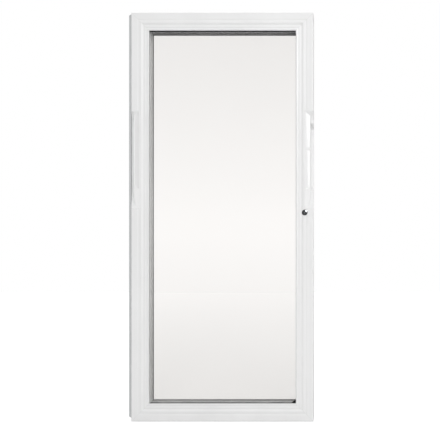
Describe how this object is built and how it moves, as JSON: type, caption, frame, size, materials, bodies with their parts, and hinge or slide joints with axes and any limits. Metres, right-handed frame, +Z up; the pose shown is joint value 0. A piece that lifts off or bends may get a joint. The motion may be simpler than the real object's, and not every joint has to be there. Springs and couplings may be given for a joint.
{
  "type": "cooler glass door",
  "caption": "Insulated-glass cooler door leaf in a white mitred frame, with moulded finger pulls, a turning cam lock, a rear magnetic seal and pivot plates at its hinge corner.",
  "frame": {"origin": "on the underside of the bottom pivot plate, beside the pivot socket at the hinge corner", "axes": "+X from the hinge stile to the latch stile, +Y from the front to the back, +Z up"},
  "size_m": [0.609, 0.0646, 1.356],
  "materials": {
    "frame_white": "satin white extrusion",
    "pull_white": "gloss white moulding",
    "glass": "clear",
    "spacer_metal": "satin",
    "black_rubber": "matt",
    "retainer_grey": "matt grey",
    "seal_grey": "matt grey",
    "strip_grey": "matt grey",
    "lock_chrome": "polished",
    "lock_steel": "zinc plated",
    "plate_steel": "stainless"
  },
  "bodies": {
    "leaf": {"frame_left_stile": "frame_white", "frame_right_stile": "frame_white", "frame_top_rail": "frame_white", "frame_bottom_rail": "frame_white", "left_pull": "pull_white", "right_pull": "pull_white", "outer_pane": "glass", "inner_pane": "glass", "spacer_left": "spacer_metal", "spacer_right": "spacer_metal", "spacer_top": "spacer_metal", "spacer_bottom": "spacer_metal", "glazing_gasket_left": "black_rubber", "glazing_gasket_right": "black_rubber", "glazing_gasket_top": "black_rubber", "glazing_gasket_bottom": "black_rubber", "corner_wedge": "black_rubber", "setting_block_left": "black_rubber", "setting_block_right": "black_rubber", "retainer_left": "retainer_grey", "retainer_right": "retainer_grey", "retainer_top": "retainer_grey", "retainer_bottom": "retainer_grey", "magnetic_gasket_left": "seal_grey", "magnetic_gasket_right": "seal_grey", "magnetic_gasket_top": "seal_grey", "magnetic_gasket_bottom": "seal_grey", "hinge_edge_strip": "strip_grey", "lock_barrel": "lock_chrome", "lock_nut": "lock_steel", "pivot_plate_bottom": "plate_steel", "pivot_plate_top": "plate_steel"},
    "lock": {"lock_plug": "lock_chrome", "lock_cam": "lock_steel", "cam_screw": "lock_steel"}
  },
  "joints": [
    {"name": "lock_turn", "type": "hinge", "parent": "leaf", "child": "lock", "pos_m": [0.537, 0, 0.693], "axis": [0, -1, 0], "range_deg": [0, 90]}
  ]
}
